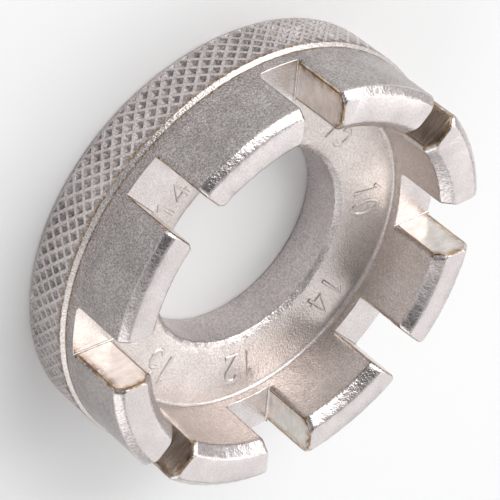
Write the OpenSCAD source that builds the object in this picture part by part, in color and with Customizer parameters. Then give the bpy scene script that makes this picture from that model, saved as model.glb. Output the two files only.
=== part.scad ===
// Round castellated spoke wrench: one cast steel ring, nickel plated.
// A diamond knurled grip band carries a crown of eight teeth with a parallel
// gauge slot between each pair, and a dished collar round the centre bore.
// Millimetres. The back face lies on z = 0, the crown points along +Z and the
// widest slot lies along +X.

/* [Grip band] */
// Diameter over the crests of the knurl
outer_diameter = 35; // [33:0.5:40]
// Depth of the grip band, from the back face to the foot of the crown
band_height = 4.3; // [3.6:0.1:6]
// Height of the bevel between the knurl and the crown
shoulder_height = 0.35; // [0.2:0.05:0.6]
// How far the crown's wall stands in from the knurl
shoulder_step = 0.26; // [0.1:0.02:0.5]
// Height of the bevel on the back rim
back_bevel_height = 0.24; // [0.1:0.02:0.4]
// Width of the bevel on the back rim
back_bevel_width = 0.2; // [0.1:0.02:0.4]

/* [Knurl] */
// Distance from crest to crest round the band
knurl_pitch = 1.22; // [0.9:0.01:2]
// Depth of the pits below the crests
knurl_depth = 0.34; // [0.1:0.02:0.5]
// Rows of crossings from rim to shoulder
knurl_rows = 6; // [4:1:8]

/* [Crown] */
// Height of the teeth above the grip band
crown_height = 6.23; // [5:0.1:8]
// Wall of the crown
crown_wall = 3.56; // [3:0.1:4.4]
// Height of the slot floors above the grip band
slot_floor_rise = 0.95; // [0.6:0.05:1.5]
// Height of the bevel on the outer edge of the teeth
tooth_outer_bevel_height = 0.52; // [0.2:0.02:0.9]
// Width of the bevel on the outer edge of the teeth
tooth_outer_bevel_width = 0.6; // [0.2:0.02:0.9]
// Height of the bevel on the inner edge of the teeth
tooth_inner_bevel_height = 0.75; // [0.2:0.02:1]
// Width of the bevel on the inner edge of the teeth
tooth_inner_bevel_width = 0.81; // [0.2:0.02:1]

/* [Gauge slots] */
// Width of the 10 gauge slot
slot_10g = 4.8; // [4.6:0.05:5.2]
// Width of the 11 gauge slot
slot_11g = 4.15; // [4.1:0.05:4.6]
// Width of the 12 gauge slot
slot_12g = 4.1; // [3.9:0.05:4.3]
// Width of the 13 gauge slot
slot_13g = 3.5; // [3.4:0.05:3.9]
// Width of the two 14 gauge slots
slot_14g = 3.3; // [3.2:0.05:3.5]
// Width of the two 15 gauge slots
slot_15g = 3.15; // [3:0.05:3.4]

/* [Collar] */
// Width of the collar, from the wall of the crown to the centre bore
collar_width = 5.18; // [4:0.02:6.5]
// How far the collar's face at the bore lies below the top of the grip band
collar_drop = 0.52; // [0.2:0.02:1]
// How much higher the collar's face lies where it meets the crown
collar_dish = 0.6; // [0.2:0.05:0.7]
// Height of the bevel on the front edge of the bore
bore_bevel_height = 0.3; // [0.1:0.05:0.6]
// Width of the bevel on the front edge of the bore
bore_bevel_width = 0.45; // [0.1:0.05:0.8]
// Size of the bevel on the back edge of the bore
bore_back_bevel = 0.2; // [0.1:0.05:0.5]

/* [Hidden] */
$fn = 96;

band_r = outer_diameter / 2;
crown_r = band_r - shoulder_step;
well_r = crown_r - crown_wall;
bore_r = well_r - collar_width;
collar_thickness = band_height - collar_drop;
overall_height = band_height + crown_height;
slot_floor = band_height + slot_floor_rise;

// Bearing of each slot in degrees, anticlockwise from +X, and its width
slot_bearings = [0, 44.8, 90.8, 134.7, 178.6, 223.4, 270.5, 315.4];
slot_widths = [slot_10g, slot_15g, slot_13g, slot_14g, slot_11g, slot_15g, slot_12g, slot_14g];

// How far a cut runs past the metal that it goes through
overrun = 1;

// The knurl's skin reaches this far under the pits, and the plain core stops
// in the middle of that depth
knurl_root = 0.5;
skin_r = band_r - knurl_depth - knurl_root;
core_r = skin_r + knurl_root / 2;
knurl_low = back_bevel_height;
knurl_high = band_height - shoulder_height;

// Crests round the band. Crossings and pits take turns, so a ring has twice
// as many points
knurl_count = round(PI * outer_diameter / knurl_pitch);
knurl_points = 2 * knurl_count;

function around(i) = i * 360 / knurl_points;
function is_crest(i, j) = (i + j) % 2 == 0;
function on_ring(i, r, z) = [r * cos(around(i)), r * sin(around(i)), z];
function row_z(j) = knurl_low + (knurl_high - knurl_low) * j / knurl_rows;
function next(i) = (i + 1) % knurl_points;

// Rings of the skin from the inside of the back face, out over the knurl and
// back to the inside of the top
back_ring = 1;
first_row = 2;
shoulder_ring = first_row + knurl_rows + 1;
top_ring = shoulder_ring + 1;
function at(ring, i) = ring * knurl_points + i;

// The cell between four points is folded along the line that joins its crests
function cell(ring, i) =
    is_crest(i, ring - first_row)
        ? [[at(ring, i), at(ring + 1, next(i)), at(ring, next(i))],
           [at(ring, i), at(ring + 1, i), at(ring + 1, next(i))]]
        : [[at(ring, i), at(ring + 1, i), at(ring, next(i))],
           [at(ring, next(i)), at(ring + 1, i), at(ring + 1, next(i))]];

module knurl_skin() {
    points = concat(
        [for (i = [0:knurl_points - 1]) on_ring(i, skin_r, 0)],
        [for (i = [0:knurl_points - 1]) on_ring(i, band_r - back_bevel_width - knurl_depth / 2, 0)],
        [for (j = [0:knurl_rows]) for (i = [0:knurl_points - 1])
            on_ring(i, is_crest(i, j) ? band_r : band_r - knurl_depth, row_z(j))],
        [for (i = [0:knurl_points - 1]) on_ring(i, crown_r, band_height)],
        [for (i = [0:knurl_points - 1]) on_ring(i, skin_r, band_height)]);
    faces = concat(
        [for (ring = [0:top_ring - 1]) for (i = [0:knurl_points - 1]) for (t = cell(ring, i)) t],
        [for (i = [0:knurl_points - 1]) [at(top_ring, i), at(0, i), at(top_ring, next(i))]],
        [for (i = [0:knurl_points - 1]) [at(top_ring, next(i)), at(0, i), at(0, next(i))]]);
    polyhedron(points, faces);
}

// The plain metal that the knurl is cut into
module band_core() {
    rotate_extrude()
        polygon([[well_r, 0], [core_r, 0], [core_r, band_height], [well_r, band_height]]);
}

module knurled_band() {
    color([0.66, 0.63, 0.61])
        union() {
            band_core();
            knurl_skin();
        }
}

// Section of the crown before its slots are cut
module crown_section() {
    polygon([
        [well_r, band_height],
        [crown_r, band_height],
        [crown_r, overall_height - tooth_outer_bevel_height],
        [crown_r - tooth_outer_bevel_width, overall_height],
        [well_r + tooth_inner_bevel_width, overall_height],
        [well_r, overall_height - tooth_inner_bevel_height]]);
}

// One parallel-sided slot, cut through the wall from the well outwards
module gauge_slot(bearing, width) {
    rotate([0, 0, bearing])
        translate([well_r - overrun, -width / 2, slot_floor])
            cube([crown_wall + 2 * overrun, width, overall_height - slot_floor + overrun]);
}

module castellated_crown() {
    color([0.80, 0.77, 0.76])
        difference() {
            rotate_extrude() crown_section();
            for (i = [0:len(slot_bearings) - 1])
                gauge_slot(slot_bearings[i], slot_widths[i]);
        }
}

// Dished ring between the well's wall and the bore
module gauge_collar() {
    color([0.74, 0.70, 0.68])
        rotate_extrude()
            polygon([
                [bore_r + bore_back_bevel, 0],
                [well_r, 0],
                [well_r, collar_thickness + collar_dish],
                [bore_r + bore_bevel_width, collar_thickness],
                [bore_r, collar_thickness - bore_bevel_height],
                [bore_r, bore_back_bevel]]);
}

knurled_band();
castellated_crown();
gauge_collar();
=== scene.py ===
import math

import bmesh
import bpy
from mathutils import Matrix, Vector, noise


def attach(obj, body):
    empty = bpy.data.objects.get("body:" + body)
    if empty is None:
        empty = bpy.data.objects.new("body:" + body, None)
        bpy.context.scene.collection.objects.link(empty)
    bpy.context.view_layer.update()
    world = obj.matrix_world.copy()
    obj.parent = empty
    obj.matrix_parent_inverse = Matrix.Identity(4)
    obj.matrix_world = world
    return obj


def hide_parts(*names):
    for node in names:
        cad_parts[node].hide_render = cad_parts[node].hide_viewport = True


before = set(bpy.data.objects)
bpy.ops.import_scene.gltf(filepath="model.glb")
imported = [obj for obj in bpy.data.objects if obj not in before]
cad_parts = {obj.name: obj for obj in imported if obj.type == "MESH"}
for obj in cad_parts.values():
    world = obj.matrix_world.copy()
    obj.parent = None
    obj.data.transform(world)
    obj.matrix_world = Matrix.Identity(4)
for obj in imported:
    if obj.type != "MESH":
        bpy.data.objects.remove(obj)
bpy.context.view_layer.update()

mm = 0.001
up = Vector((0, 0, 1))

# Round spoke wrench, cast in one piece and nickel plated. Driving sizes, in metres

# Grip band
knurl_radius = 17.5 * mm
knurl_low = 0.24 * mm
knurl_high = 3.62 * mm
shoulder_foot = 3.95 * mm
back_rim_radius = 17.3 * mm
knurl_rows = 3
knurl_diamonds = 90
ridge_half_width = 0.115 * mm
pit_wall_width = 0.22 * mm
pit_depth = 0.20 * mm
pits_fade_from = 3.2 * mm
# Share of its depth that a pit has lost where it meets the shoulder
pits_fade = 0.75
# Cuts across the shoulder, as shares of its height
shoulder_cuts = (0, 0.15, 0.3, 0.45, 0.6, 0.8)

# Crown
crown_radius = 17.24 * mm
well_radius = 13.68 * mm
crown_foot = 4.30 * mm
slot_floor = 5.25 * mm
tooth_top = 10.53 * mm
outer_bevel_foot = 10.01 * mm
outer_bevel_top_radius = 16.64 * mm
inner_bevel_top_radius = 14.49 * mm
inner_bevel_foot = 9.78 * mm
corner_round = 0.40 * mm
tooth_round = 0.16 * mm
slot_round = 0.07 * mm
slot_fillet = 0.09 * mm
# Distance between the points that carry the casting's unevenness
cast_step = 0.24 * mm

# Collar
bore_radius = 8.5 * mm
bore_back_radius = 8.7 * mm
bore_back_bevel_top = 0.2 * mm
bore_edge_foot = 3.48 * mm
bore_edge_radius = 8.95 * mm
collar_low = 3.78 * mm
collar_high = 4.38 * mm
collar_round = 0.1 * mm
collar_step = 0.36 * mm
collar_sides = 240
fillet_radius = 0.32 * mm
fillet_steps = 4

# Bearing in degrees and width of each gauge slot, anticlockwise from +X
gauge_slots = [
    (0.0, 4.80 * mm),
    (44.8, 3.15 * mm),
    (90.8, 3.50 * mm),
    (134.7, 3.30 * mm),
    (178.6, 4.15 * mm),
    (223.4, 3.15 * mm),
    (270.5, 4.10 * mm),
    (315.4, 3.30 * mm),
]

# Places that lie closer than this count as the same
hair = 0.001 * mm

# Degrees between two faces: shaded as one surface below the first, rounded over above the second,
# and filleted above the third where they meet in a hollow
smooth_below = 40
rounded_above = 20
filleted_above = 60


# Helpers for building

def ring_point(radius, height, bearing):
    angle = math.radians(bearing)
    return Vector((radius * math.cos(angle), radius * math.sin(angle), height))


def section_wire(bm, section, bearing, closed=False):
    """The points of a section of radii and heights, stood up at a bearing, and the edges between them."""
    verts = [bm.verts.new(ring_point(r, z, bearing)) for r, z in section]
    edges = [bm.edges.new(pair) for pair in zip(verts, verts[1:])]
    if closed:
        edges.append(bm.edges.new((verts[-1], verts[0])))
    return verts + edges


def spun(bm, geom, degrees, steps, full=False):
    """Sweeps a section round the bore's axis and returns its last copy. A full turn closes on its start."""
    return bmesh.ops.spin(
        bm,
        geom=geom,
        cent=(0, 0, 0),
        axis=(0, 0, 1),
        dvec=(0, 0, 0),
        angle=math.radians(degrees),
        steps=steps,
        use_merge=full,
        use_normal_flip=False,
        use_duplicate=False,
    )["geom_last"]


def full_ring(bm, section, sides):
    """Makes a ring from a closed section."""
    spun(bm, section_wire(bm, section, 0, closed=True), 360, sides, full=True)
    outwards(bm)


def everything(bm):
    return list(bm.verts) + list(bm.edges) + list(bm.faces)


def outwards(bm, within=0.004 * mm):
    """Joins points that fall together and turns the faces outwards."""
    bmesh.ops.remove_doubles(bm, verts=bm.verts, dist=within)
    bmesh.ops.recalc_face_normals(bm, faces=bm.faces)


def in_order(bm):
    """Sorts points, edges and faces by place, because a cut leaves them in an order that can change."""
    places = {v: tuple(round(c / (0.1 * hair)) for c in v.co) for v in bm.verts}
    for i, vert in enumerate(sorted(bm.verts, key=places.get)):
        vert.index = i
    for parts in (bm.edges, bm.faces):
        for i, part in enumerate(sorted(parts, key=lambda p: sorted(v.index for v in p.verts))):
            part.index = i
    for parts in (bm.verts, bm.edges, bm.faces):
        parts.sort()


def stepped(section, spacing):
    """The same section with points no further apart than the spacing."""
    fine = []
    for (r0, z0), (r1, z1) in zip(section, section[1:]):
        count = max(1, math.ceil(math.hypot(r1 - r0, z1 - z0) / spacing))
        fine += [(r0 + (r1 - r0) * i / count, z0 + (z1 - z0) * i / count) for i in range(count)]
    return fine + section[-1:]


def trim(bm, side, offset, keep):
    """Cuts across at a plane and keeps what is above it, below it, or both."""
    bmesh.ops.bisect_plane(
        bm,
        geom=everything(bm),
        dist=0.5 * hair,
        plane_co=side * offset,
        plane_no=side,
        use_snap_center=False,
        clear_outer=keep == "below",
        clear_inner=keep == "above",
    )


def rounded(bm, edges, radius, segments=3):
    """Rounds the edges over and returns the faces of the rounding."""
    return bmesh.ops.bevel(
        bm,
        geom=edges,
        offset=radius,
        offset_type="OFFSET",
        segments=segments,
        profile=0.5,
        affect="EDGES",
        clamp_overlap=True,
        material=-1,
    )["faces"]


def open_edges(bm, foot=0):
    """Edges with a face on one side only, that reach above a height."""
    return [e for e in bm.edges if e.is_boundary and max(v.co.z for v in e.verts) > foot]


# Sizes of the casting's broad and fine lumps, how much each counts, and a shift that keeps them apart
broad_lump = 0.55 * mm
fine_lump = broad_lump * 0.45
broad_share = 0.7
fine_share = 0.45
fine_shift = Vector((7, 3, 5))


def cast_skin(bm, depth):
    """Sinks the skin by the uneven depth of a casting, depth(vert) at most. Nothing stands proud."""
    bm.normal_update()
    for vert in bm.verts:
        most = depth(vert)
        if most > 0:
            broad = noise.noise(vert.co / broad_lump)
            fine = noise.noise(vert.co / fine_lump + fine_shift)
            share = 0.5 + broad * broad_share + fine * fine_share
            vert.co -= vert.normal * most * min(1, max(0, share))


def finished(bm, name, node, finishes, replaces=True):
    """Turns a bmesh into a piece that rides on the wrench, mostly in its CAD node's place, and hides that
    node's part if it replaces it.
    """
    mesh = bpy.data.meshes.new(name)
    bm.to_mesh(mesh)
    bm.free()
    mesh.shade_smooth()
    mesh.set_sharp_from_angle(angle=math.radians(smooth_below))
    for finish in finishes:
        mesh.materials.append(finish)
    piece = bpy.data.objects.new(name, mesh)
    bpy.context.scene.collection.objects.link(piece)
    shading = piece.modifiers.new("even_shading", "WEIGHTED_NORMAL")
    shading.keep_sharp = True
    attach(piece, "root")
    if replaces:
        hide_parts(node)


# Helpers for finishes

def node_tree(name):
    finish = bpy.data.materials.new(name)
    finish.use_nodes = True
    nodes, links = finish.node_tree.nodes, finish.node_tree.links
    nodes.clear()
    out = nodes.new("ShaderNodeOutputMaterial")
    shader = nodes.new("ShaderNodeBsdfPrincipled")
    links.new(shader.outputs["BSDF"], out.inputs["Surface"])
    return finish, nodes, links, shader


def grain(nodes, links, where, scale, detail=1.0, roughness=0.5):
    """Cloudy pattern with so many clouds to the metre."""
    clouds = nodes.new("ShaderNodeTexNoise")
    clouds.inputs["Scale"].default_value = scale
    clouds.inputs["Detail"].default_value = detail
    clouds.inputs["Roughness"].default_value = roughness
    links.new(where, clouds.inputs["Vector"])
    return clouds.outputs["Fac"]


def ramp(nodes, links, value, low, high, dark, light):
    """Colour that goes from dark to light as the value goes from low to high."""
    stops = nodes.new("ShaderNodeValToRGB")
    stops.color_ramp.elements[0].position = low
    stops.color_ramp.elements[0].color = (*dark, 1)
    stops.color_ramp.elements[1].position = high
    stops.color_ramp.elements[1].color = (*light, 1)
    links.new(value, stops.inputs["Fac"])
    return stops.outputs["Color"]


def spread(nodes, links, value, low, high, to_low, to_high):
    """Number that goes from to_low to to_high as the value goes from low to high."""
    scaled = nodes.new("ShaderNodeMapRange")
    scaled.inputs["From Min"].default_value = low
    scaled.inputs["From Max"].default_value = high
    scaled.inputs["To Min"].default_value = to_low
    scaled.inputs["To Max"].default_value = to_high
    links.new(value, scaled.inputs["Value"])
    return scaled.outputs["Result"]


def worked_out(nodes, links, operation, first, second):
    """Answer of a sum of two numbers."""
    answer = nodes.new("ShaderNodeMath")
    answer.operation = operation
    links.new(first, answer.inputs[0])
    links.new(second, answer.inputs[1])
    return answer.outputs["Value"]


def axes(nodes, links, where):
    split = nodes.new("ShaderNodeSeparateXYZ")
    links.new(where, split.inputs["Vector"])
    return split.outputs


def shaded(nodes, links, colour, brightness):
    """Colour made lighter or darker by a number."""
    scaled = nodes.new("ShaderNodeVectorMath")
    scaled.operation = "SCALE"
    links.new(colour, scaled.inputs[0])
    links.new(brightness, scaled.inputs["Scale"])
    return scaled.outputs["Vector"]


# Places of the colour sockets on a Mix node, whose names come more than once
mix_share = 0
mix_clean = 6
mix_stained = 7
mix_colour = 2


def blended(nodes, links, share, clean, stained):
    """Clean colour that turns into the stained one as the share goes from 0 to 1."""
    mix = nodes.new("ShaderNodeMix")
    mix.data_type = "RGBA"
    links.new(share, mix.inputs[mix_share])
    links.new(clean, mix.inputs[mix_clean])
    links.new(stained, mix.inputs[mix_stained])
    return mix.outputs[mix_colour]


def bump(nodes, links, height, distance, below=None):
    raised = nodes.new("ShaderNodeBump")
    raised.inputs["Distance"].default_value = distance
    raised.inputs["Strength"].default_value = 1.0
    links.new(height, raised.inputs["Height"])
    if below:
        links.new(below, raised.inputs["Normal"])
    return raised.outputs["Normal"]


# Stain, and a dark line at the crown's foot

stain = ((0.58, 0.42, 0.27), (0.20, 0.13, 0.09))
shoulder_patches = 700.0
slot_patches = 2200.0

# Rings of brown below and above the shoulder, a soft stain below it and a thin dark line in the corner at the
# crown's foot above it: heights where each begins, is full, fades and ends
stain_and_foot_line_rings = (
    (shoulder_foot - 0.42 * mm, shoulder_foot - 0.10 * mm, shoulder_foot, shoulder_foot + 0.03 * mm),
    (crown_foot - 0.05 * mm, crown_foot, crown_foot + 0.05 * mm, crown_foot + 0.20 * mm),
)

# Stain on a slot's walls: it is full this far inside an edge, and fades over these widths
stain_inset = 0.25 * mm
top_stain = 0.45 * mm
outer_bevel_stain = 0.8 * mm
inner_bevel_stain = 0.7 * mm
outer_lip_stain_full = crown_radius - 0.5 * mm
outer_lip_stain_end = crown_radius - 1.1 * mm


def shoulder_stain_and_foot_line(nodes, links, where):
    """How brown the metal is on each side of the shoulder: a soft stain ring below it and a thin dark line in
    the corner at the crown's foot above.
    """
    height = axes(nodes, links, where)["Z"]
    rings = []
    for begin, full, fade, end in stain_and_foot_line_rings:
        rise = spread(nodes, links, height, begin, full, 0, 1)
        fall = spread(nodes, links, height, fade, end, 1, 0)
        rings.append(worked_out(nodes, links, "MULTIPLY", rise, fall))
    clouds = grain(nodes, links, where, shoulder_patches, detail=3.0, roughness=0.6)
    patches = spread(nodes, links, clouds, 0.36, 0.60, 0.45, 1.0)
    return worked_out(nodes, links, "MULTIPLY", worked_out(nodes, links, "ADD", *rings), patches)


def edge_stain(nodes, links, lay, where):
    """How stained a slot's wall is: along its outer edge, its top and the bevels beside it, in patches."""
    flat = axes(nodes, links, lay)
    along, height = flat["X"], flat["Y"]
    towards_outer_bevel = worked_out(nodes, links, "ADD", height, along)
    towards_inner_bevel = worked_out(nodes, links, "SUBTRACT", height, along)
    edges = spread(nodes, links, along, outer_lip_stain_end, outer_lip_stain_full, 0, 1)
    for reach, edge, fade in (
        (height, tooth_top, top_stain),
        (towards_outer_bevel, outer_bevel_foot + crown_radius, outer_bevel_stain),
        (towards_inner_bevel, inner_bevel_foot - well_radius, inner_bevel_stain),
    ):
        near_edge = spread(nodes, links, reach, edge - stain_inset - fade, edge - stain_inset, 0, 1)
        edges = worked_out(nodes, links, "MAXIMUM", edges, near_edge)
    clouds = grain(nodes, links, where, slot_patches, detail=4.0, roughness=0.7)
    patches = spread(nodes, links, clouds, 0.32, 0.54, 0, 1)
    return worked_out(nodes, links, "MULTIPLY", edges, patches)


# Finishes. Shades are a light and a dark colour, rough is the least and the most roughness,
# and relief is how high the bumps stand

cast_clouds = 420.0
slot_clouds = 900.0
slot_streaks = 3600.0
slot_specks = 9000.0
# Streaks are drawn out along a slot by this squeeze of the pattern
streak_squeeze = 0.2
# The fine bumps of a casting are this many times smaller than its pebbles, and stand this share as high
fine_bumps = 2.4
fine_bump_share = 0.4
# The same share for the specks between a cutter's marks
speck_share = 0.8


def cast_nickel(name, shades, rough, relief, pebble, pores, stained=None):
    """Nickel plate over a grained casting. A pebble is one bump of the grain, and pores darken it."""
    finish, nodes, links, shader = node_tree(name)
    light, dark = shades
    where = nodes.new("ShaderNodeTexCoord").outputs["Object"]
    clouds = grain(nodes, links, where, cast_clouds, detail=3.0, roughness=0.6)
    coarse = grain(nodes, links, where, 1 / pebble)
    fine = grain(nodes, links, where, fine_bumps / pebble)
    speckle = spread(nodes, links, coarse, 0.32, 0.68, 1 - pores, 1 + pores)
    colour = shaded(nodes, links, ramp(nodes, links, clouds, 0.35, 0.65, dark, light), speckle)
    if stained:
        brown_light, brown_dark = stain
        brown = ramp(nodes, links, coarse, 0.44, 0.72, brown_dark, brown_light)
        colour = blended(nodes, links, stained(nodes, links, where), colour, brown)
    links.new(colour, shader.inputs["Base Color"])
    links.new(spread(nodes, links, fine, 0.3, 0.7, *rough), shader.inputs["Roughness"])
    pebbled = bump(nodes, links, coarse, relief)
    links.new(bump(nodes, links, fine, relief * fine_bump_share, pebbled), shader.inputs["Normal"])
    shader.inputs["Metallic"].default_value = 1.0
    return finish


def milled_nickel(name, shades, rough, relief):
    """Nickel plate over the cutter's marks, which run along each slot, stained brown along its edges."""
    finish, nodes, links, shader = node_tree(name)
    light, dark = shades
    lay = nodes.new("ShaderNodeUVMap")
    lay.uv_map = "slot_lay"
    along = nodes.new("ShaderNodeMapping")
    along.inputs["Scale"].default_value = (streak_squeeze, 1, 1)
    links.new(lay.outputs["UV"], along.inputs["Vector"])
    where = nodes.new("ShaderNodeTexCoord").outputs["Object"]
    streaks = grain(nodes, links, along.outputs["Vector"], slot_streaks, detail=3.0, roughness=0.6)
    clouds = grain(nodes, links, where, slot_clouds, detail=3.0, roughness=0.6)
    specks = grain(nodes, links, where, slot_specks)
    scores = spread(nodes, links, streaks, 0.35, 0.65, 0.92, 1.05)
    clean = shaded(nodes, links, ramp(nodes, links, clouds, 0.38, 0.62, dark, light), scores)
    brown_light, brown_dark = stain
    brown = ramp(nodes, links, clouds, 0.40, 0.62, brown_dark, brown_light)
    stained = edge_stain(nodes, links, lay.outputs["UV"], where)
    links.new(blended(nodes, links, stained, clean, brown), shader.inputs["Base Color"])
    links.new(spread(nodes, links, streaks, 0.3, 0.7, *rough), shader.inputs["Roughness"])
    scored = bump(nodes, links, streaks, relief)
    links.new(bump(nodes, links, specks, relief * speck_share, scored), shader.inputs["Normal"])
    shader.inputs["Metallic"].default_value = 1.0
    return finish


plate = ((0.68, 0.63, 0.62), (0.61, 0.56, 0.55))
# The crown's outer walls take a darker plate than the tooth faces: painted shade for the dark surroundings
# that the walls mirror, over the casting's own cloudy tone
crown_wall_painted_shade = ((0.51, 0.47, 0.455), (0.40, 0.365, 0.355))
# The well's wall takes a warmer, lighter plate than the tooth faces: the nickel's own tone with painted warm
# light bounced from the collar
well_plate_painted_light = ((0.75, 0.68, 0.645), (0.68, 0.61, 0.575))
milled_plate = ((0.77, 0.72, 0.68), (0.65, 0.60, 0.56))
floor_plate = ((0.66, 0.615, 0.605), (0.58, 0.535, 0.525))
collar_plate = ((0.72, 0.665, 0.645), (0.64, 0.585, 0.565))
# The knurl's pits take a darker plate than the ridges: painted shade in the hollows
pit_plate_painted_shade = ((0.48, 0.44, 0.43), (0.33, 0.30, 0.29))
shoulder_plate = ((0.76, 0.71, 0.69), (0.68, 0.63, 0.61))

face_finish = cast_nickel(
    "tooth_face_nickel", plate, rough=(0.26, 0.36), relief=0.022 * mm, pebble=0.16 * mm, pores=0.07
)
# The darker base colour of the outer walls is painted shade; the pores and bumps are the casting's grain
wall_finish_painted_shade = cast_nickel(
    "cast_wall_nickel_painted_shade", crown_wall_painted_shade, rough=(0.18, 0.27), relief=0.130 * mm, pebble=0.14 * mm, pores=0.30,
    stained=shoulder_stain_and_foot_line,
)
bevel_finish = cast_nickel(
    "cast_bevel_nickel", plate, rough=(0.18, 0.28), relief=0.028 * mm, pebble=0.20 * mm, pores=0.12
)
# The warmer, lighter colour of the well's wall is partly painted light bounced from the collar
well_finish_painted_light = cast_nickel(
    "well_wall_nickel_painted_light", well_plate_painted_light, rough=(0.22, 0.32), relief=0.034 * mm, pebble=0.16 * mm, pores=0.14
)
slot_finish = milled_nickel("milled_slot_nickel", milled_plate, rough=(0.16, 0.26), relief=0.010 * mm)
floor_finish = cast_nickel(
    "slot_floor_nickel", floor_plate, rough=(0.19, 0.29), relief=0.020 * mm, pebble=0.12 * mm, pores=0.10
)
stain_finish = cast_nickel(
    "stained_edge_nickel", stain, rough=(0.30, 0.45), relief=0.060 * mm, pebble=0.16 * mm, pores=0.4
)
collar_finish = cast_nickel(
    "collar_nickel", collar_plate, rough=(0.29, 0.39), relief=0.036 * mm, pebble=0.16 * mm, pores=0.14
)
bore_finish = cast_nickel(
    "bore_nickel", plate, rough=(0.26, 0.36), relief=0.045 * mm, pebble=0.16 * mm, pores=0.2
)
ridge_finish = cast_nickel(
    "knurl_ridge_nickel", plate, rough=(0.24, 0.34), relief=0.040 * mm, pebble=0.16 * mm, pores=0.2,
    stained=shoulder_stain_and_foot_line,
)
# The pits' darker colour is painted shade
pit_finish_painted_shade = cast_nickel(
    "knurl_pit_nickel_painted_shade", pit_plate_painted_shade, rough=(0.36, 0.50), relief=0.050 * mm, pebble=0.16 * mm, pores=0.3,
    stained=shoulder_stain_and_foot_line,
)
shoulder_finish = cast_nickel(
    "turned_shoulder_nickel", shoulder_plate, rough=(0.18, 0.28), relief=0.050 * mm, pebble=0.14 * mm,
    pores=0.12, stained=shoulder_stain_and_foot_line,
)


# Crown of eight teeth

tooth_section = [
    (crown_radius, crown_foot),
    (crown_radius, slot_floor),
    (crown_radius, outer_bevel_foot),
    (outer_bevel_top_radius, tooth_top),
    (inner_bevel_top_radius, tooth_top),
    (well_radius, inner_bevel_foot),
    (well_radius, slot_floor),
    (well_radius, crown_foot),
]
slot_section = [
    (crown_radius, crown_foot),
    (crown_radius, slot_floor),
    (well_radius, slot_floor),
    (well_radius, crown_foot),
]

# Degrees that a sweep runs past the slot's side that trims it
sweep_overrun = 0.4
# Degrees between a slot's side and the even steps of a tooth, so that its rounded corner has room
tooth_margin = 3.2
# The same for the steps of a slot's floor, and how long they are
slot_margin = 0.9
slot_step = 2.0
# Teeth and slots are joined where their points lie this close
seam_gap = 0.02 * mm
# The teeth's edges are rounded above a cut this far above the slots' fillets
fillet_clearance = 0.02 * mm

crown_finishes = [
    face_finish, wall_finish_painted_shade, bevel_finish, well_finish_painted_light, slot_finish, stain_finish, floor_finish
]
face_slot, wall_slot, bevel_slot, well_slot, milled_slot, stain_slot, floor_slot = range(7)


def slot_side(bearing):
    """Level way that points straight across a gauge slot."""
    angle = math.radians(bearing)
    return Vector((-math.sin(angle), math.cos(angle), 0))


def half_opening(width, radius):
    """Half the angle that a slot takes out of a ring of that radius, in degrees."""
    return math.degrees(math.asin(width / 2 / radius))


def swept_part(section, bearings, step):
    """One tooth or slot. Its first and last steps run past the slots' sides, which then trim them."""
    start, first, last, end = bearings
    bm = bmesh.new()
    geom = section_wire(bm, section, start)
    geom = spun(bm, geom, first - start, 1)
    geom = spun(bm, geom, last - first, max(1, round((last - first) / step)))
    spun(bm, geom, end - last, 1)
    return bm


def tooth_blank(bearing, width, next_bearing, next_width):
    """The tooth between two slots, with sharp edges."""
    tooth = swept_part(
        tooth_section,
        (
            bearing + half_opening(width, crown_radius) - sweep_overrun,
            bearing + half_opening(width, well_radius) + tooth_margin,
            next_bearing - half_opening(next_width, well_radius) - tooth_margin,
            next_bearing - half_opening(next_width, crown_radius) + sweep_overrun,
        ),
        math.degrees(cast_step / crown_radius),
    )
    trim(tooth, slot_side(bearing), width / 2, "above")
    trim(tooth, slot_side(next_bearing), -next_width / 2, "below")
    in_order(tooth)
    return tooth


def slot_blank(bearing, width):
    """The low wall under a slot."""
    outer, inner = half_opening(width, crown_radius), half_opening(width, well_radius)
    slot = swept_part(
        slot_section,
        (
            bearing - inner - sweep_overrun,
            bearing - outer + slot_margin,
            bearing + outer - slot_margin,
            bearing + inner + sweep_overrun,
        ),
        slot_step,
    )
    trim(slot, slot_side(bearing), width / 2, "below")
    trim(slot, slot_side(bearing), -width / 2, "above")
    in_order(slot)
    return slot


def crown_blank():
    """All the teeth and slots joined into one open ring, with sharp edges."""
    whole = bmesh.new()
    first_bearing, first_width = gauge_slots[0]
    following = gauge_slots[1:] + [(first_bearing + 360, first_width)]
    for slot, next_slot in zip(gauge_slots, following):
        for part in (tooth_blank(*slot, *next_slot), slot_blank(*slot)):
            held = bpy.data.meshes.new("part")
            part.to_mesh(held)
            part.free()
            whole.from_mesh(held)
            bpy.data.meshes.remove(held)
    bmesh.ops.remove_doubles(whole, verts=whole.verts, dist=seam_gap)
    bmesh.ops.holes_fill(whole, edges=open_edges(whole, crown_foot + 0.01 * mm), sides=0)
    bmesh.ops.recalc_face_normals(whole, faces=whole.faces)
    return whole


def sharp_edges(bm, foot):
    """Standing edges above a height that are sharp enough to be rounded, hollow corners left out."""
    return [
        e for e in bm.edges
        if len(e.link_faces) == 2 and e.calc_face_angle_signed(0) > math.radians(rounded_above)
        and max(v.co.z for v in e.verts) > foot
    ]


def slots_filleted(whole):
    """Rounds the hollow corners along each slot's floor and returns the new faces."""
    hollows = [
        e for e in whole.edges
        if len(e.link_faces) == 2 and e.calc_face_angle_signed(0) < math.radians(-filleted_above)
        and max(abs(v.co.z - slot_floor) for v in e.verts) < hair
    ]
    return set(rounded(whole, hollows, slot_fillet))


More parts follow.
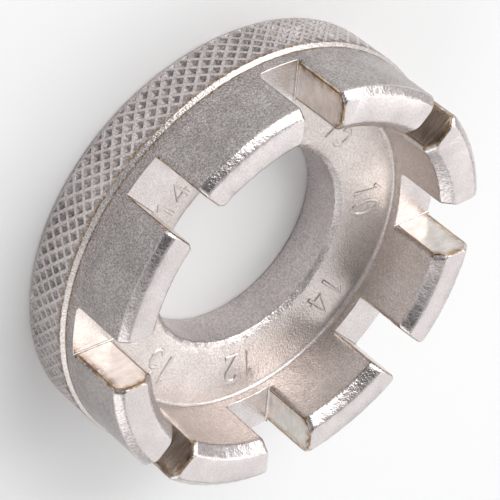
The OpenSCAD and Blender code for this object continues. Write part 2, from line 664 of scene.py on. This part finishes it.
def edges_rounded(whole):
    """Rounds the teeth's corners, their other edges and the slots' outer and inner lips, in that order."""
    foot = slot_floor + slot_fillet + fillet_clearance
    trim(whole, up, foot, "both")
    in_order(whole)
    # A slot's upright side is the only face beside these with more than four corners
    corners = [
        e for e in sharp_edges(whole, foot + 0.01 * mm)
        if any(abs(f.normal.z) < 0.01 and len(f.verts) > 4 for f in e.link_faces)
        and max(f.normal.z for f in e.link_faces) < faces_up
    ]
    rounds = set(rounded(whole, corners, corner_round, segments=6))
    rounds.update(rounded(whole, sharp_edges(whole, foot + 0.05 * mm), tooth_round))
    lips = [
        e for e in sharp_edges(whole, slot_floor - hair)
        if max(v.co.z for v in e.verts) < slot_floor + hair
        and abs(e.verts[0].co.xy.length - e.verts[1].co.xy.length) < 0.05 * mm
    ]
    rounds.update(rounded(whole, lips, slot_round))
    return rounds


# How squarely a face has to look up, up at a slant, out or in, or across its slot, from 0 to 1
faces_up = 0.95
faces_slanted = 0.3
faces_out = 0.6
faces_across = 0.7


def nearest_slot(point):
    """Bearing of the gauge slot that lies nearest to a point."""
    turn = math.degrees(math.atan2(point.y, point.x))
    return min((b for b, _ in gauge_slots), key=lambda b: abs((turn - b + 180) % 360 - 180))


def crown_finish(face, is_round):
    """Which of the crown's finishes a face takes, from where it is and how it lies."""
    middle = face.calc_center_median()
    out = Vector((middle.x, middle.y, 0))
    outward = abs(face.normal.dot(out.normalized()))
    sideways = abs(face.normal.dot(slot_side(nearest_slot(middle))))
    upward = face.normal.z
    if is_round and sideways > faces_across:
        return stain_slot
    if upward > faces_up:
        return face_slot if middle.z > inner_bevel_foot else floor_slot
    if upward > faces_slanted:
        return bevel_slot
    if outward > faces_out:
        return wall_slot if out.length > (crown_radius + well_radius) / 2 else well_slot
    return wall_slot if is_round else milled_slot


# How deep the casting's unevenness goes on each part of the crown
tooth_face_depth = 0.010 * mm
bevel_depth = 0.040 * mm
slot_edge_depth = 0.035 * mm
wall_depth = 0.030 * mm
even_foot = crown_foot + 0.1 * mm


def crown_depth(vert):
    """How deep the casting's unevenness goes at this place on the crown."""
    if vert.co.z < even_foot:
        return 0
    kinds = {face.material_index for face in vert.link_faces}
    if kinds == {face_slot}:
        return tooth_face_depth
    if kinds <= {milled_slot, floor_slot}:
        return 0
    if bevel_slot in kinds:
        return bevel_depth
    if stain_slot in kinds:
        return slot_edge_depth
    return wall_depth


def slot_lay(bm):
    """Lays a flat map on the slots' faces, with its first way along the slot."""
    lay = bm.loops.layers.uv.new("slot_lay")
    for face in bm.faces:
        if face.material_index != milled_slot:
            continue
        side = slot_side(nearest_slot(face.calc_center_median()))
        along = Vector((side.y, -side.x, 0))
        for loop in face.loops:
            across = loop.vert.co.z if abs(face.normal.z) < 0.5 else loop.vert.co.dot(side)
            loop[lay].uv = (loop.vert.co.dot(along), across)


def crown():
    whole = crown_blank()
    fillets = slots_filleted(whole)
    rounds = edges_rounded(whole)
    bmesh.ops.bridge_loops(whole, edges=open_edges(whole))
    for face in whole.faces:
        face.material_index = milled_slot if face in fillets else crown_finish(face, face in rounds)
    height = slot_floor + cast_step
    while height < tooth_top:
        trim(whole, up, height, "both")
        height += cast_step
    in_order(whole)
    outwards(whole)
    slot_lay(whole)
    cast_skin(whole, crown_depth)
    finished(whole, "castellated_crown_cast", "castellated_crown", crown_finishes)


crown()


# Knurled grip band

band_finishes = [ridge_finish, pit_finish_painted_shade, shoulder_finish]
ridge_slot, pit_slot, shoulder_slot = range(3)


# Faces that stay this close to the knurl's radius are its grip
grip_skin = 0.05 * mm


def sink_pits(bm):
    """Turns the grip's squares into diamonds that stand on their corners, and sinks a pit into each."""
    grip = [f for f in bm.faces if min(v.co.xy.length for v in f.verts) > knurl_radius - grip_skin]
    on_grip = set(grip)
    inner_edges = [e for e in bm.edges if len([f for f in e.link_faces if f in on_grip]) == 2]
    middles = set(bmesh.ops.poke(bm, faces=grip)["verts"])
    bmesh.ops.dissolve_edges(bm, edges=inner_edges, use_verts=False)
    cells = [f for f in bm.faces if any(v in middles for v in f.verts)]
    for vert in middles:
        vert.co.xy = vert.co.xy.normalized() * knurl_radius
    bmesh.ops.inset_individual(bm, faces=cells, thickness=ridge_half_width, depth=0, use_even_offset=True)
    walls = bmesh.ops.inset_individual(
        bm, faces=cells, thickness=pit_wall_width, depth=-pit_depth, use_even_offset=True
    )["faces"]
    # The pits' faces take the darker finish that paints shade into them
    for face in walls + cells:
        face.material_index = pit_slot


def fade_pits(bm):
    """Makes the pits shallower towards the shoulder, under which they run out."""
    for vert in bm.verts:
        reach = vert.co.xy.length
        below = knurl_radius - reach
        # Not the crests, and not the well's wall
        if 0.01 * mm < below < 2 * pit_depth and vert.co.z > pits_fade_from:
            share = min(1, (vert.co.z - pits_fade_from) / (shoulder_foot - pits_fade_from))
            vert.co.xy *= (knurl_radius - below * (1 - pits_fade * share)) / reach


def shoulder_radius(height):
    """Radius of the turned shoulder at that height."""
    share = (height - shoulder_foot) / (crown_foot - shoulder_foot)
    return knurl_radius + (crown_radius - knurl_radius) * min(1, max(0, share))


def turn_shoulder(bm):
    """Turns the top of the knurl down to the shoulder's slope."""
    for share in shoulder_cuts:
        trim(bm, up, shoulder_foot + (crown_foot - shoulder_foot) * share, "both")
    trim(bm, up, crown_foot, "below")
    in_order(bm)
    bmesh.ops.bridge_loops(bm, edges=open_edges(bm))
    turned = set()
    for vert in bm.verts:
        reach = vert.co.xy.length
        if vert.co.z > shoulder_foot - hair and reach > shoulder_radius(vert.co.z) - hair:
            vert.co.xy *= shoulder_radius(vert.co.z) / reach
            turned.add(vert)
    for face in bm.faces:
        if all(v in turned for v in face.verts):
            face.material_index = shoulder_slot


def knurled_band():
    bm = bmesh.new()
    row = (knurl_high - knurl_low) / knurl_rows
    # One more row than the finished band has, which the shoulder is turned from
    section = [(knurl_radius, knurl_low + row * i) for i in range(knurl_rows + 2)]
    section += [(well_radius, knurl_high + row), (well_radius, 0), (back_rim_radius, 0)]
    full_ring(bm, section, knurl_diamonds)
    sink_pits(bm)
    fade_pits(bm)
    turn_shoulder(bm)
    bmesh.ops.recalc_face_normals(bm, faces=bm.faces)
    finished(bm, "knurled_grip_band", "knurled_band", band_finishes)


knurled_band()


# Dished collar

collar_finishes = [collar_finish, bore_finish]
dish_slot, bore_slot = range(2)
# The collar runs this far in under the crown's wall
collar_tuck = 0.05 * mm
# Faces within this radius belong to the bore, and edges within the second are rounded
bore_finish_radius = bore_edge_radius + 0.1 * mm
collar_round_radius = well_radius - 0.5 * mm
# How deep the casting's unevenness goes on the dish and on the bore's front edge
dish_depth = 0.020 * mm
bore_edge_depth = 0.055 * mm
bore_edge_reach = 0.15 * mm
# The collar is even from this radius outwards and from this height down
even_radius = well_radius - 0.02 * mm
even_height = 0.3 * mm


def collar_depth(vert):
    """How deep the casting's unevenness goes at this place on the collar."""
    reach = vert.co.xy.length
    if reach > even_radius or vert.co.z < even_height:
        return 0
    if vert.co.z > bore_edge_foot - bore_edge_reach and reach < bore_edge_radius + bore_edge_reach:
        return bore_edge_depth
    return dish_depth


def collar():
    bm = bmesh.new()
    top = []
    for i in range(fillet_steps + 1):
        turn = math.radians(90 * i / fillet_steps)
        top.append((
            well_radius - fillet_radius * (1 - math.cos(turn)),
            collar_high + fillet_radius * (1 - math.sin(turn)),
        ))
    top += [(bore_edge_radius, collar_low), (bore_radius, bore_edge_foot), (bore_radius, bore_back_bevel_top)]
    section = [(well_radius + collar_tuck, collar_high + fillet_radius)] + stepped(top, collar_step)
    section += [(bore_back_radius, 0), (well_radius + collar_tuck, 0)]
    full_ring(bm, section, collar_sides)
    sharp = [
        e for e in bm.edges
        if len(e.link_faces) == 2 and e.calc_face_angle(0) > math.radians(rounded_above)
        and e.verts[0].co.xy.length < collar_round_radius
    ]
    rounded(bm, sharp, collar_round)
    bmesh.ops.recalc_face_normals(bm, faces=bm.faces)
    for face in bm.faces:
        if face.calc_center_median().xy.length < bore_finish_radius:
            face.material_index = bore_slot
    cast_skin(bm, collar_depth)
    finished(bm, "dished_gauge_collar", "gauge_collar", collar_finishes)


collar()


# Raised gauge numerals, read clockwise with their heads outwards

numeral_height = 2.3 * mm
numeral_width = 1.25 * mm
numeral_stroke = 0.2 * mm
numeral_relief = 0.1 * mm
numeral_foot = 10.05 * mm
numeral_gap = 1.62 * mm

# Each number and the bearing of its middle in degrees
gauge_numbers = [
    ("10", 2.0),
    ("15", 46.5),
    ("13", 91.0),
    ("14", 136.5),
    ("11", 178.6),
    ("15", 223.0),
    ("12", 269.5),
    ("14", 316.5),
]


def bend(x, y, across, tall, start, end, steps=14):
    """Points of a curved stroke, as shares of the numeral's width and height."""
    turn = [math.radians(start + (end - start) * i / steps) for i in range(steps + 1)]
    return [(x + across * math.cos(t), y + tall * math.sin(t)) for t in turn]


strokes = {
    "0": [bend(0.5, 0.5, 0.46, 0.5, 90, 450, 32)],
    "1": [[(0.24, 0.80), (0.52, 1.0), (0.52, 0.0)]],
    "2": [bend(0.5, 0.72, 0.42, 0.28, 165, -35) + [(0.08, 0.0), (0.95, 0.0)]],
    "3": [bend(0.45, 0.76, 0.40, 0.24, 150, -80), bend(0.45, 0.27, 0.46, 0.27, 85, -150)],
    "4": [[(0.72, 0.0), (0.72, 1.0), (0.04, 0.30), (1.0, 0.30)]],
    "5": [[(0.88, 1.0), (0.22, 1.0), (0.12, 0.56)] + bend(0.44, 0.32, 0.46, 0.32, 120, -140)],
}


def numeral_strokes(text):
    """Strokes of one gauge number on the flat, its middle on x = 0 and its foot on y = 0."""
    lines = []
    first = -numeral_gap * (len(text) - 1) / 2
    for place, digit in enumerate(text):
        for stroke in strokes[digit]:
            lines.append([
                (first + place * numeral_gap + (x - 0.5) * numeral_width, y * numeral_height)
                for x, y in stroke
            ])
    return lines


def numeral_mesh(text):
    """One gauge number as a mesh of round strokes, on the flat."""
    curve = bpy.data.curves.new("stroke", "CURVE")
    curve.dimensions = "3D"
    curve.bevel_depth = numeral_stroke
    curve.bevel_resolution = 3
    curve.use_fill_caps = True
    for line in numeral_strokes(text):
        spline = curve.splines.new("POLY")
        spline.points.add(len(line) - 1)
        for point, (x, y) in zip(spline.points, line):
            point.co = (x, y, 0, 1)
    drawn = bpy.data.objects.new("stroke", curve)
    bpy.context.scene.collection.objects.link(drawn)
    bpy.context.view_layer.update()
    mesh = bpy.data.meshes.new_from_object(drawn.evaluated_get(bpy.context.evaluated_depsgraph_get()))
    bpy.data.objects.remove(drawn)
    return mesh


def onto_collar(bearing):
    """The move that flattens a number, tilts it to the collar's slope and takes it to its bearing."""
    slope = math.atan((collar_high - collar_low) / (well_radius - bore_edge_radius))
    foot_height = collar_low + (numeral_foot - bore_edge_radius) * math.tan(slope)
    squash = Matrix.Diagonal((1, 1, numeral_relief / numeral_stroke, 1))
    tilt = Matrix.Rotation(slope, 4, "X")
    lift = Matrix.Translation((0, numeral_foot, foot_height))
    turn = Matrix.Rotation(math.radians(bearing - 90), 4, "Z")
    return turn @ lift @ tilt @ squash


def numerals():
    bm = bmesh.new()
    for text, bearing in gauge_numbers:
        mesh = numeral_mesh(text)
        mesh.transform(onto_collar(bearing))
        bm.from_mesh(mesh)
        bpy.data.meshes.remove(mesh)
    outwards(bm, within=0.002 * mm)
    finished(bm, "raised_gauge_numerals", "gauge_collar", [collar_finish], replaces=False)


numerals()


# Floor and light

lamp_distance = 0.6
floor_radius = 3.0
floor_shade = 0.93


def heading(bearing, elevation):
    """Way from the wrench towards a bearing and an elevation in degrees."""
    b, e = math.radians(bearing), math.radians(elevation)
    return Vector((math.cos(b) * math.cos(e), math.sin(b) * math.cos(e), math.sin(e)))


def floor():
    bm = bmesh.new()
    bmesh.ops.create_circle(bm, cap_ends=True, segments=96, radius=floor_radius)
    mesh = bpy.data.meshes.new("floor")
    bm.to_mesh(mesh)
    bm.free()
    finish, nodes, links, shader = node_tree("pale_floor")
    shader.inputs["Base Color"].default_value = (floor_shade, floor_shade, floor_shade, 1)
    shader.inputs["Roughness"].default_value = 0.9
    mesh.materials.append(finish)
    sheet = bpy.data.objects.new("floor", mesh)
    bpy.context.scene.collection.objects.link(sheet)


def opening(nodes, links, bearing, elevation, far, near, pale, dim):
    """Shade of the tent round an opening, from how near each way is to the opening's middle."""
    towards = nodes.new("ShaderNodeVectorMath")
    towards.operation = "DOT_PRODUCT"
    towards.inputs[1].default_value = heading(bearing, elevation)
    links.new(nodes.new("ShaderNodeTexCoord").outputs["Generated"], towards.inputs[0])
    return ramp(nodes, links, towards.outputs["Value"], far, near, (pale,) * 3, (dim,) * 3)


def studio():
    """A pale tent that opens above the wrench and low down towards the camera."""
    world = bpy.data.worlds.new("studio")
    world.use_nodes = True
    nodes, links = world.node_tree.nodes, world.node_tree.links
    above = opening(nodes, links, bearing=141, elevation=60, far=0.84, near=0.985, pale=0.64, dim=0.09)
    low = opening(nodes, links, bearing=126, elevation=0, far=0.80, near=0.95, pale=1.0, dim=0.15)
    both = nodes.new("ShaderNodeVectorMath")
    both.operation = "MULTIPLY"
    links.new(above, both.inputs[0])
    links.new(low, both.inputs[1])
    links.new(both.outputs["Vector"], nodes["Background"].inputs["Color"])
    bpy.context.scene.world = world


def soft_box(name, bearing, elevation, width, height, glow):
    """An oblong of even light that faces the wrench. Its glow is how bright it looks, where 1 is white."""
    lamp = bpy.data.lights.new(name, "AREA")
    lamp.shape = "RECTANGLE"
    lamp.size = width
    lamp.size_y = height
    lamp.energy = glow * math.pi * width * height
    box = bpy.data.objects.new(name, lamp)
    away = heading(bearing, elevation)
    turn = away.to_track_quat("Z", "Y").to_matrix().to_4x4()
    box.matrix_world = Matrix.Translation(away * lamp_distance) @ turn
    box.visible_camera = False
    bpy.context.scene.collection.objects.link(box)


floor()
studio()
soft_box("left_soft_box", bearing=61, elevation=36, width=0.62, height=0.44, glow=2.6)
soft_box("back_soft_box", bearing=313, elevation=38, width=0.76, height=0.48, glow=0.54)
soft_box("high_soft_box", bearing=357, elevation=45, width=0.50, height=0.22, glow=1.1)
soft_box("right_soft_box", bearing=230, elevation=24, width=0.50, height=0.36, glow=1.0)
bpy.context.scene.view_settings.view_transform = "Standard"


# Camera, about 200 mm from the wrench, with the ways that its own right and back face

camera_place = (-105.65 * mm, 118.90 * mm, 121.42 * mm)
camera_right = Vector((0.78035, 0.07996, 0.62021)).normalized()
camera_back = Vector((-0.53388, 0.60161, 0.59417)).normalized()
camera_up = camera_back.cross(camera_right)

camera_data = bpy.data.cameras.new("camera")
camera_data.lens = 190.2
camera_data.sensor_width = 36.0
camera_data.clip_start = 0.01
camera = bpy.data.objects.new("camera", camera_data)
bpy.context.scene.collection.objects.link(camera)
stance = Matrix((camera_right, camera_up, camera_back)).transposed().to_4x4()
camera.matrix_world = Matrix.Translation(camera_place) @ stance
bpy.context.scene.camera = camera
